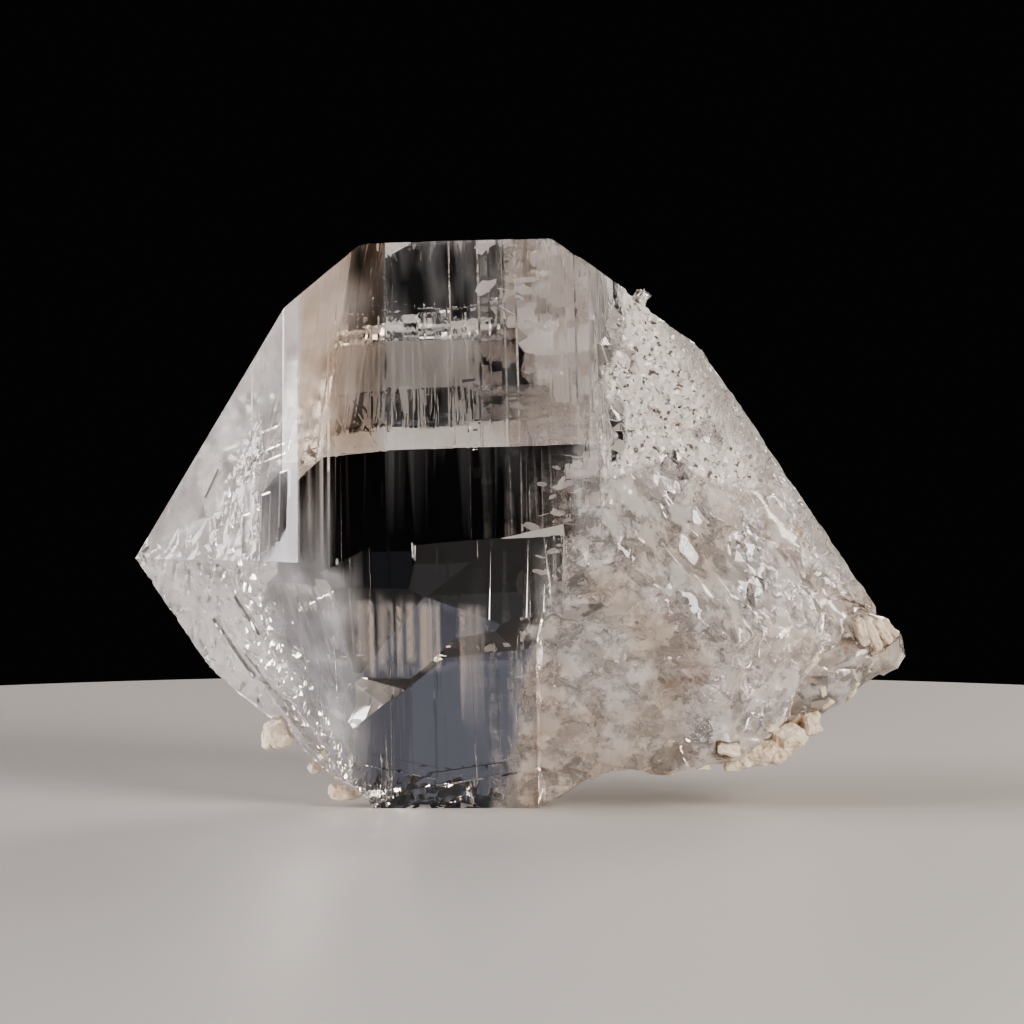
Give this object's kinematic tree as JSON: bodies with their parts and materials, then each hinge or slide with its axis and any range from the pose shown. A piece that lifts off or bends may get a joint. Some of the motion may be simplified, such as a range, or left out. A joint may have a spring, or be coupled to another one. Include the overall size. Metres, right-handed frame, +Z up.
{
  "type": "quartz_crystal_specimen",
  "caption": "Clear doubly terminated quartz crystal with a milky lower right, etched faces, growth ledges and small cream feldspar pieces, lying on a small flat spot.",
  "frame": {"origin": "On the surface that the crystal rests on, under the middle of the whole part's bounding box.", "axes": "+X to the right along the crystal's long axis as the picture shows it, +Z up, -Y towards the viewer."},
  "size_m": [0.0846, 0.0412, 0.0621],
  "materials": {
    "quartz": "clear natural crystal faces, rough and milky where broken or etched",
    "feldspar": "matt cream mineral"
  },
  "bodies": {
    "root": {"quartz_crystal": "quartz", "feldspar_blades": "feldspar", "feldspar_crust": "feldspar", "feldspar_block_front": "feldspar", "feldspar_block_left": "feldspar", "feldspar_lump_small": "feldspar", "feldspar_lump_base": "feldspar"}
  },
  "joints": []
}
